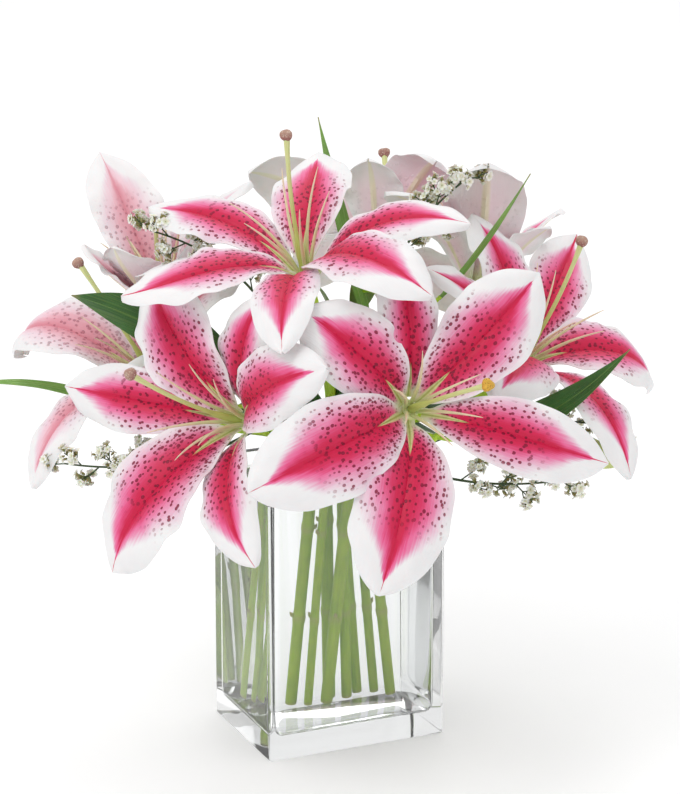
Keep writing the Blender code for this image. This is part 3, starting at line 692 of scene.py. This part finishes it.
def tepal_grid(flower, layer, angle, length, width, spread, tip, bend, chance):
    """A tepal's middle surface as a grid of points, foot first, with its facts."""
    cup = FLOWERS[flower][3]
    share = np.linspace(0, 1, FINE_ROWS + 1)
    early, late = 4 * spread - 3 * cup - tip, 2 * cup + 2 * tip - 4 * spread
    lean = np.radians(cup + early * share + late * share**2)
    swing = np.radians(angle + bend * share**2)
    outward = np.stack([np.cos(swing), np.sin(swing), 0 * swing], 1)
    side = np.stack([-np.sin(swing), np.cos(swing), 0 * swing], 1)
    axis = np.array([0, 0, 1.0])
    upper_side = axis * np.sin(lean)[:, None] - outward * np.cos(lean)[:, None]
    step = outward * np.sin(lean)[:, None] + axis * np.cos(lean)[:, None]
    step *= length * MM / FINE_ROWS
    step[0] = 0
    foot = outward[0] * (CLAW_RADIUS + layer * LAYER_STEP)
    midrib = foot - axis * (layer * LAYER_SETBACK) + np.cumsum(step, axis=0)
    from_axis = np.hypot(midrib[:, 0], midrib[:, 1])

    across = np.linspace(-1, 1, FINE_COLUMNS + 1)
    across = np.sign(across) * np.abs(across) ** 0.9
    half = np.maximum(half_width(share, width), TIP_WIDTH / 2)
    ragged = np.ones((len(share), len(across)))
    lift = np.zeros_like(ragged)
    blade = np.clip(np.sin(math.pi * np.clip((share - 0.1) / 0.9, 0, 1)), 0, 1) ** 0.7
    for sign in (-1, 1):
        beside = across * sign > 0
        reach = np.abs(across[beside])[None, :]
        ragged[:, beside] += 0.03 * waves(share, 2.5, chance)[:, None] * blade[:, None] * reach**3
        ruffle = waves(share, RUFFLES, chance) * blade * RUFFLE_DEPTH * width / DEPTHS_FOR
        lift[:, beside] += ruffle[:, None] * reach**3.2
    offset = half[:, None] * across[None, :] * ragged
    wrap = offset**2 * np.cos(lean)[:, None] / (2 * from_axis[:, None])
    aside = np.abs(across)[None, :]
    grooved = np.sin(math.pi * share**0.8)[:, None] ** 0.5
    groove = -GROOVE_DEPTH * np.exp(-((offset / GROOVE_WIDTH) ** 2)) * grooved
    pillow = PILLOW_DEPTH * width / DEPTHS_FOR * np.sin(math.pi * aside) * blade[:, None]
    rolled = -ROLL_DEPTH * width / DEPTHS_FOR * aside**4 * np.clip(share - 0.35, 0, 1)[:, None]
    height = wrap + groove + pillow + rolled + lift
    grid = midrib[:, None, :] + side[:, None, :] * offset[..., None]
    grid += upper_side[:, None, :] * height[..., None]
    own, blush, reached = chance.random(), BLUSH.get(flower, 1.0), across[None, :] * ragged
    facts = facts_of(offset / MM, share[:, None] * length, own, share[:, None], reached, 1, blush)
    thickness = TEPAL_THICKNESS * (1 - 0.55 * aside**2) * (1 - 0.35 * share[:, None])
    return in_world(flower, grid), facts, thickness


def add_tepal(shape, *measures):
    grid, facts, thickness = tepal_grid(*measures)
    add_sheet(shape, grid, thickness, facts)


def make_tepals(petal):
    """The front blooms' tepals one by one, and the others' in rings of three."""
    chance = random.Random(11)
    for flower, tepals in TEPALS.items():
        spread = FLOWERS[flower][4]
        for name, (layer, angle, length, width, tip, bend) in tepals.items():
            shape = Shape()
            add_tepal(shape, flower, layer, angle, length, width, spread, tip, bend, chance)
            shape.make(f"petal_{flower}_{name}", [petal], "pink_petal", f"tepal_{flower}_{name}")
    for flower, rings in WHORLS.items():
        for ring, (layer, shapes) in rings.items():
            shape = Shape()
            for angle, length, width, spread, tip in shapes:
                add_tepal(shape, flower, layer, angle, length, width, spread, tip, 0, chance)
            shape.make(f"petals_{flower}_{ring}", [petal], "pink_petal", f"tepals_{flower}_{ring}")


def limb(outward, start, length, lean_start, lean_end, steps, sway=0.0):
    """Points along a limb that leans more and more away from the flower's axis."""
    side = UP.cross(outward)
    points = [start]
    for i in range(steps):
        share = (i + 0.5) / steps
        lean = math.radians(lean_start + (lean_end - lean_start) * share)
        heading = outward * math.sin(lean) + UP * math.cos(lean)
        heading += side * sway * share
        points.append(points[-1] + heading.normalized() * (length / steps))
    return points


def profile(stops, count):
    """Values read off straight lines through (share, value) stops."""
    shares = [share for share, _ in stops]
    return np.interp(np.linspace(0, 1, count), shares, [value for _, value in stops])


def make_heart(flower, style, knob, filament, chance):
    """Receptacle and ovary, a long style with a three-lobed knob, and six bare filaments."""
    shape = Shape()

    def add_part(path, radii, sides, slot, *lobes):
        add_tube(shape, in_world(flower, np.array(path)), radii, sides, chance.random(), slot, *lobes)

    base = [UP * height for height in np.linspace(RECEPTACLE_FOOT, 2 * MM, 14)]
    stops = ((0, 3.2 * MM), (0.3, 5.2 * MM), (0.58, 6.3 * MM), (0.64, 3.6 * MM), (1, 3.2 * MM))
    add_part(base, profile(stops, 14), 24, 0)
    droop = math.radians(PISTIL_DROOP[flower])
    length = YOUNG_PISTIL_LENGTH if flower in YOUNG_FLOWERS else PISTIL_LENGTH
    path = limb(level(droop), UP * 0.5 * MM, length, *PISTIL_LEAN, 26)
    stops = ((0, 2.3 * MM), (0.22, 1.9 * MM), (0.3, 1.15 * MM), (0.85, 1.2 * MM), (1, 1.7 * MM))
    add_part(path, profile(stops, 27), 16, 0)
    along = (path[-1] - path[-2]).normalized()
    head = [path[-1] + along * (height * MM) for height in (-1.2, -0.4, 0.6, 1.9, 3.2, 4.2, 4.7)]
    head_radii = [1.4 * MM, 2.3 * MM, 3.0 * MM, 3.25 * MM, 3.1 * MM, 2.2 * MM, 0.7 * MM]
    add_part(head, head_radii, 30, 1, None, 3, 0.16)
    for i in range(6):
        turn = math.radians(60 * i + 30) + chance.uniform(-0.08, 0.08)
        start = level(turn) * 2.9 * MM
        length = FILAMENT_LENGTH * chance.uniform(0.9, 1.05)
        leans = 15 + chance.uniform(-3, 3), 34 + chance.uniform(-6, 8)
        path = limb(level(turn), start, length, *leans, 20, chance.uniform(-0.35, 0.35))
        stops = ((0, 1.15 * MM), (0.5, 0.85 * MM), (0.93, 0.35 * MM), (1, 0.15 * MM))
        add_part(path, profile(stops, 21), 10, 2)
    shape.make(f"pistil_{flower}", [style, knob, filament], "pale_green_pistil", f"heart_{flower}")


# -------- stems, leaves, bud


def stem_path(flower):
    """Points, radii and dryness up a stem, straight in the vase and then curving to its flower."""
    foot, waist, radius = STEMS[flower]
    foot, waist = mm(*foot, STEM_FOOT / MM), mm(*waist, WAIST / MM)
    radius *= MM
    points, radii, scars = [foot], [radius * 0.97], [0.55]
    for i in range(1, RUN_STEPS):
        share = i / RUN_STEPS
        swell = max(math.exp(-(((share - node) / 0.016) ** 2)) for node in STEM_NODES)
        points.append(foot.lerp(waist, share))
        radii.append(radius * (1 + (NODE_SWELL - 1) * swell))
        scars.append(0.75 * swell**4)
    axis = flower_axes(flower)[2]
    top = flower_matrix(flower) @ Vector((0, 0, RECEPTACLE_FOOT + 2 * MM))
    reach = (top - waist).length * STEM_CURVE
    straight_on = waist + (waist - foot).normalized() * reach
    curve = bezier(waist, straight_on, top - axis * reach, top, BEND_STEPS)
    for i, point in enumerate(curve):
        points.append(point)
        radii.append(radius + (STEM_TOP_RADIUS - radius) * (i / BEND_STEPS) ** 2)
        scars.append(0)
    return points, radii, scars


def make_stem(flower, green, chance):
    points, radii, scars = stem_path(flower)
    shape = Shape()
    add_tube(shape, points, radii, 22, chance.random(), 0, scars)
    for node in STEM_NODES:
        i = round(node * RUN_STEPS)
        side = beside(points[i + 1] - points[i], chance.uniform(0, 6.28), "Z")
        nub = [points[i] + side * radii[i] * 0.5, points[i] + side * radii[i] * 1.25 + mm(0, 0, 1.2)]
        nub.append(nub[-1] + side * 0.8 * MM + mm(0, 0, 1.4))
        add_tube(shape, nub, [1.5 * MM, 1.1 * MM, 0.3 * MM], 8, chance.random(), 0, [0.2, 0.7, 1])
    shape.make(f"stalk_{flower}", [green], "green_stem", f"stem_{flower}")


def add_blade(shape, root, tip, width, rise, face, chance):
    """A leaf folded along its midrib, with a gentle wave, tapering to both ends."""
    root, tip, face = mm(*root), mm(*tip), Vector(face).normalized()
    middle = root.lerp(tip, 0.5) + Vector((0, 0, rise * MM * 2))
    rows, columns = BLADE_ROWS, BLADE_COLUMNS
    path = bezier(root, root.lerp(middle, HANDLE), tip.lerp(middle, HANDLE), tip, rows)
    share = np.linspace(0, 1, rows + 1)
    outline = LEAF_START + (1 - LEAF_START) * share
    half = np.maximum(width * MM / 2 * np.sin(math.pi * outline**LEAF_BULGE), 0.25 * MM)
    across = np.linspace(-1, 1, columns + 1)
    grid = np.zeros((rows + 1, columns + 1, 3))
    ripple = waves(share, 1.6, chance)
    for i, point in enumerate(path):
        along = (path[min(i + 1, rows)] - path[max(i - 1, 0)]).normalized()
        side = along.cross(face).normalized()
        up = side.cross(along)
        for k, place in enumerate(across):
            lift = LEAF_FOLD * half[i] * abs(place) ** 1.3 + 0.06 * half[i] * ripple[i] * place
            grid[i, k] = point + side * (half[i] * place) + up * lift
    aside, share, middle = half[:, None] * across[None, :] / MM, share[:, None], columns // 2
    length = (tip - root).length / MM
    facts = facts_of(aside, share * length, chance.random(), share, across[None, :], 1, 1)
    size = BLADE_THICKNESS * (1 - 0.6 * np.abs(across)[None, :] ** 2) * np.ones((rows + 1, 1))
    foot, ahead, beyond = grid[0, middle], grid[1, middle], grid[0, middle + 1]
    up_side = np.cross(ahead - foot, beyond - foot)
    if np.dot(up_side, face) < 0:
        grid, size = grid[:, ::-1], size[:, ::-1]
    add_sheet(shape, grid, size, facts)


def nearest_on_stems(point, below):
    """The point of any stem nearest to this one, and at least as far below it as asked."""
    best, found = 1e9, None
    for flower in STEMS:
        for place in stem_path(flower)[0][RUN_STEPS // 2:]:
            if place.z > point.z - below:
                continue
            if (place - point).length < best:
                best, found = (place - point).length, place
    return found


def add_stalk(shape, root, heading, radius, chance, slot, below=12 * MM, steps=14, sides=8):
    """A thin stalk from the nearest stem up to a root."""
    start = nearest_on_stems(root, below)
    reach = (root - start).length * 0.4
    path = bezier(start, start + UP * reach, root - heading * reach, root, steps)
    add_tube(shape, path, [radius] * (steps + 1), sides, chance.random(), slot)


def make_leaves(blade, light_blade, green):
    chance = random.Random(5)
    for name, (root, tip, width, rise, face) in LEAVES.items():
        shape = Shape()
        add_blade(shape, root, tip, width, rise, face, chance)
        start, end = mm(*root), mm(*tip)
        add_stalk(shape, start + (end - start) * 0.02, (end - start).normalized(), 1.1 * MM, chance, 1)
        look = light_blade if name in LIGHT_LEAVES else blade
        piece = name.replace("leaf", "blade").replace("grass", "grass_blade")
        shape.make(piece, [look, green], "green_leaf", name)


def make_foliage(blade, green):
    """Leaves on the stems among the flowers, where they close the gaps between blooms."""
    chance = random.Random(23)
    for flower in STEMS:
        points = stem_path(flower)[0]
        shape = Shape()
        for share in (0.16, 0.34, 0.52, 0.7):
            i = RUN_STEPS + round(BEND_STEPS * share)
            along = (points[i + 1] - points[i]).normalized()
            side = beside(along, chance.uniform(0, 2 * math.pi))
            root = points[i] / MM
            tip = root + along * chance.uniform(22, 34) + side * chance.uniform(16, 26)
            add_blade(shape, root, tip, chance.uniform(11, 16), 2, along * 0.6 - side, chance)
        shape.make(f"foliage_{flower}", [blade], "green_leaf")


def make_bud(name, look, green, root, foot, tip, radius):
    """A closed bud of six folded tepals, grooved between them, on a stalk."""
    root, foot, tip = mm(*root), mm(*foot), mm(*tip)
    chance = random.Random(3)
    axis = (tip - foot).normalized()
    shape = Shape()
    reach = (foot - root).length * BUD_STALK_CURVE
    stalk = bezier(root, root + Vector(BUD_STALK_HEADING) * reach, foot - axis * reach, foot, 20)
    stalk_stops = ((0, STALK_RADIUS), (0.9, STALK_RADIUS), (1, 3 * MM))
    add_tube(shape, stalk, profile(stalk_stops, 21), 14, 0.2, 1)
    add_stalk(shape, root, Vector(BUD_STALK_HEADING), STALK_RADIUS, chance, 1)
    steps, sides = 40, 48
    path = [foot.lerp(tip, i / steps) for i in range(steps + 1)]
    outline = ((0, 0.36), (0.08, 0.55), (0.25, 0.84), (0.5, 1.0))
    outline += ((0.72, 0.84), (0.9, 0.46), (0.97, 0.22), (1, 0.06))
    rings = tube_rings(path, profile(outline, steps + 1) * radius * MM, sides, 3, 0.1)
    centre = np.array(path)[:, None, :]
    turn = np.arange(sides) / sides
    groove = 1 - 0.07 * np.exp(-((np.abs(np.sin(3 * math.pi * turn)) / 0.16) ** 2))
    rings = centre + (rings - centre) * groove[None, :, None]
    share = np.linspace(0, 1, steps + 1)[:, None]
    facts = facts_of(turn * 50, share * (tip - foot).length / MM, 0.3, share, turn[None, :], 1, 1)
    add_rings(shape, rings, facts)
    shape.make("closed_bud", [look, green], "yellow_green_bud", name)


# -------- filler sprigs


def add_floret(shape, centre, axis, size, chance):
    """A tiny cup of five petals in a short brown-green calyx."""
    axis = axis.normalized()
    side = beside(axis, chance.uniform(0, 6.28))
    other = axis.cross(side)
    calyx = [centre, centre + axis * size * 0.8, centre + axis * size * 1.3]
    add_tube(shape, calyx, [size * 0.16, size * 0.42, size * 0.3], 6, chance.random(), 1)
    heart = centre + axis * size * 1.15
    shares, widths = (0, 0.5, 0.85, 1), (0.16, 0.42, 0.4, 0.2)
    along = np.repeat(shares, 3).reshape(4, 3)
    for i in range(5):
        turn = 2 * math.pi * i / 5 + chance.uniform(-0.15, 0.15)
        outward = side * math.cos(turn) + other * math.sin(turn)
        sideways = axis.cross(outward) * size
        opening = chance.uniform(0.25, 0.75)
        grid = []
        for share, width in zip(shares, widths):
            rise = share * opening * (1.3 - share * 0.6)
            place = heart + outward * size * share * 1.05 + axis * size * rise
            grid.append([place + sideways * width * k + axis * size * 0.12 * abs(k) for k in (-1, 0, 1)])
        facts = facts_of(0.0, 0.0, chance.random(), along, 0, 1, 1)
        add_sheet(shape, np.array(grid), np.full((4, 3), size * 0.09), facts)


def add_spike(shape, start, heading, length, chance):
    """A thin curved twig that carries two rows of florets."""
    bend = heading.orthogonal().normalized() * chance.uniform(-0.3, 0.3) + UP * 0.25
    end = start + (heading + bend).normalized() * length
    path = bezier(start, start + heading * length * 0.4, end - (heading + bend * 2) * length * 0.2, end, 8)
    add_tube(shape, path, [0.35 * MM] * 9, 5, chance.random(), 2)
    florets = max(4, round(length / (1.3 * MM)))
    for i in range(florets):
        share = 0.25 + 0.75 * (i + 0.5) / florets
        place, along = on_path(path, share)
        side = beside(along, math.pi * (i % 2) + chance.uniform(-0.9, 0.9))
        place = place + side * chance.uniform(0.3, 1.6) * MM
        add_floret(shape, place, side + along * 0.8, chance.uniform(1.6, 2.5) * MM, chance)


def make_sprig(name, looks, root, handle, end, branches, reach, seed):
    """A branching spray of florets on a thin stalk that leaves the nearest stem."""
    chance = random.Random(seed)
    root, handle, end = mm(*root), mm(*handle), mm(*end)
    shape = Shape()
    stalk = bezier(root, root.lerp(handle, HANDLE), end.lerp(handle, HANDLE), end, 24)
    add_tube(shape, stalk, profile(((0, 0.9 * MM), (1, 0.5 * MM)), 25), 7, chance.random(), 2)
    add_stalk(shape, root, (handle - root).normalized(), 0.9 * MM, chance, 2, 15 * MM, 12, 7)
    for i in range(branches):
        share = 0.42 + 0.58 * i / max(branches - 1, 1)
        place, along = on_path(stalk, share)
        side = beside(along, 2.4 * i + chance.uniform(-0.4, 0.4))
        heading = (along * 0.9 + side).normalized()
        length = reach * MM * chance.uniform(0.75, 1.1) * (1.1 - 0.35 * share)
        fork = place + heading * length * 0.45
        add_tube(shape, [place, fork], [0.45 * MM, 0.4 * MM], 5, chance.random(), 2)
        for turn in (-0.7, 0.1, 0.8):
            other = heading.copy()
            other.rotate(Matrix.Rotation(turn, 3, heading.orthogonal()))
            add_spike(shape, fork, other, length * chance.uniform(0.5, 0.75), chance)
    shape.make(name.replace("sprig", "spray"), looks, "white_filler", name)


# -------- vase and water


def box_ring(width, depth, corner, height, corner_steps=10):
    ring = []
    for quarter in range(4):
        centre_x = (width / 2 - corner) * (1 if quarter in (0, 3) else -1)
        centre_y = (depth / 2 - corner) * (1 if quarter in (0, 1) else -1)
        for step in range(corner_steps + 1):
            turn = math.radians(90) * (quarter + step / corner_steps)
            ring.append((centre_x + corner * math.cos(turn), centre_y + corner * math.sin(turn), height))
    return ring


def box_stack(width, depth, corner, levels):
    rings = []
    for height, inset in levels:
        sharper = max(corner - inset, 0.6 * MM)
        rings.append(box_ring(width - 2 * inset, depth - 2 * inset, sharper, height))
    return rings


def eased(height, turned, radius, steps=4):
    """Heights and insets up a small rounded edge. turned is 1 at a foot and -1 at a rim."""
    levels = []
    for step in range(steps + 1):
        turn = math.radians(90) * (step / steps if turned > 0 else 1 - step / steps)
        rise = radius * (1 - math.cos(turn))
        levels.append((height + turned * rise, radius * (1 - math.sin(turn))))
    return levels


def hollow_levels(grow, top):
    """The hollow's rounded floor edge and its straight wall, grown outwards by a little."""
    radius = FLOOR_FILLET + grow
    levels = []
    for step in range(13):
        turn = math.radians(90) * step / 12
        height = VASE_FLOOR - grow + radius * (1 - math.cos(turn))
        levels.append((height, radius * (1 - math.sin(turn)) - grow))
    levels.append((top, -grow))
    return levels


def inner_stack(levels):
    return box_stack(VASE_WIDTH - 2 * PANE, VASE_DEPTH - 2 * PANE, INNER_CORNER, levels)


def make_clear_piece(name, look, record_slot, node, rings):
    shape = Shape()
    add_rings(shape, rings, facts_of(np.zeros(np.shape(rings)[:2]), 0, 0, 0, 0, 1, 1))
    shape.make(name, [look], record_slot, node)


def make_vase(glass):
    rim = eased(VASE_HEIGHT, -1, EDGE_EASE)
    outside = box_stack(VASE_WIDTH, VASE_DEPTH, OUTER_CORNER, eased(0, 1, EDGE_EASE) + rim)
    inner_rim = [(height, -inset) for height, inset in rim]
    inside = inner_stack(hollow_levels(0, VASE_HEIGHT - EDGE_EASE)[:-1] + inner_rim)
    make_clear_piece("glass_vase", glass, "clear_glass", "vase", outside + inside[::-1])


def make_water(clear):
    """The water reaches a hair into the glass, so that no air shows between them."""
    levels = hollow_levels(WATER_OVERLAP, WATER_LEVEL + WATER_CLIMB)
    for share in (0.15, 0.4, 0.7, 1.0):
        levels.append((WATER_LEVEL + WATER_CLIMB * (1 - share) ** 3, 3 * MM * share))
    make_clear_piece("still_water", clear, "clear_water", "water", inner_stack(levels))


# -------- studio


def make_floor():
    mesh = bpy.data.meshes.new("floor")
    corners = [(x * FLOOR_REACH, y * FLOOR_REACH, 0) for x, y in ((-1, -1), (1, -1), (1, 1), (-1, 1))]
    mesh.from_pydata(corners, [], [(0, 1, 2, 3)])
    mesh.materials.append(floor_material())
    floor = new_object("floor", mesh)
    floor.location.z = -FLOOR_GAP


def aim(obj, target):
    obj.rotation_euler = (Vector(target) - obj.location).to_track_quat("-Z", "Y").to_euler()


def polar(azimuth, elevation, distance, target):
    """A place seen from the target at an azimuth from -Y towards +X, and an elevation."""
    azimuth, elevation = math.radians(azimuth), math.radians(elevation)
    out = Vector((math.sin(azimuth), -math.cos(azimuth), 0)) * math.cos(elevation)
    return Vector(target) + distance * (out + UP * math.sin(elevation))


def make_lamp(name, azimuth, elevation, distance, size, power, colour):
    light = bpy.data.lights.new(name, "AREA")
    light.shape = "DISK"
    light.size = size
    light.energy = power
    light.color = colour
    lamp = new_object(name, light)
    lamp.location = polar(azimuth, elevation, distance, VIEW_TARGET)
    aim(lamp, VIEW_TARGET)


def make_studio():
    make_floor()
    world = bpy.data.worlds.new("studio")
    world.use_nodes = True
    background = world.node_tree.nodes["Background"]
    background.inputs["Color"].default_value = (1, 1, 1, 1)
    background.inputs["Strength"].default_value = WORLD_STRENGTH
    bpy.context.scene.world = world
    for name, lamp in LAMPS.items():
        make_lamp(name, *lamp)
    bpy.context.scene.view_settings.view_transform = "Standard"


def make_camera():
    camera = new_object("camera", bpy.data.cameras.new("camera"))
    camera.data.lens = CAMERA_LENS
    camera.data.sensor_width = CAMERA_SENSOR
    camera.location = polar(CAMERA_AZIMUTH, CAMERA_ELEVATION, CAMERA_DISTANCE, VIEW_TARGET)
    aim(camera, VIEW_TARGET)
    bpy.context.scene.camera = camera


# -------- everything


def make_flowers():
    chance = random.Random(8)
    make_tepals(petal_material())
    style = tissue_material("style", (0.50, 0.60, 0.16), (0.62, 0.66, 0.30))
    filament = tissue_material("filament", (0.66, 0.72, 0.36), (0.80, 0.66, 0.48))
    purple = tissue_material("stigma", (0.30, 0.14, 0.12), (0.42, 0.26, 0.20), (0.62, 0.50, 0.40), 0.6)
    orange = tissue_material("dusted_stigma", (0.62, 0.30, 0.03), (0.70, 0.42, 0.06), (0.25, 0.14, 0.02), 0.7)
    green = stem_material("fresh_stem", (0.54, 0.78, 0.05), (0.40, 0.66, 0.04), (0.62, 0.56, 0.24))
    for flower in FLOWERS:
        make_heart(flower, style, orange if flower in DUSTED else purple, filament, chance)
        make_stem(flower, green, chance)
    return green


def make_greens(green):
    blade = leaf_material("dark_leaf", (0.022, 0.085, 0.012), (0.14, 0.24, 0.04), (0.10, 0.20, 0.035))
    light_blade = leaf_material("light_leaf", (0.12, 0.26, 0.035), (0.20, 0.32, 0.07), (0.28, 0.40, 0.12))
    make_leaves(blade, light_blade, green)
    make_foliage(blade, green)
    for name, measures in BUDS.items():
        make_bud(name, bud_material(), green, *measures)
    floret = tissue_material("floret", (0.74, 0.72, 0.50), (0.90, 0.89, 0.86))
    calyx = tissue_material("calyx", (0.20, 0.22, 0.06), (0.34, 0.28, 0.12))
    twig = stem_material("twig", (0.05, 0.09, 0.03), (0.03, 0.05, 0.02), (0.12, 0.10, 0.05))
    for seed, (name, measures) in enumerate(SPRIGS.items()):
        make_sprig(name, [floret, calyx, twig], *measures, seed)


def main():
    make_camera()
    make_studio()
    make_vase(clear_material("glass", (0.985, 0.993, 0.995), 1.5, 0.05, 0.12))
    make_water(clear_material("water", (0.995, 1.0, 1.0), 1.33, 0.09, 0.05))
    make_greens(make_flowers())


main()
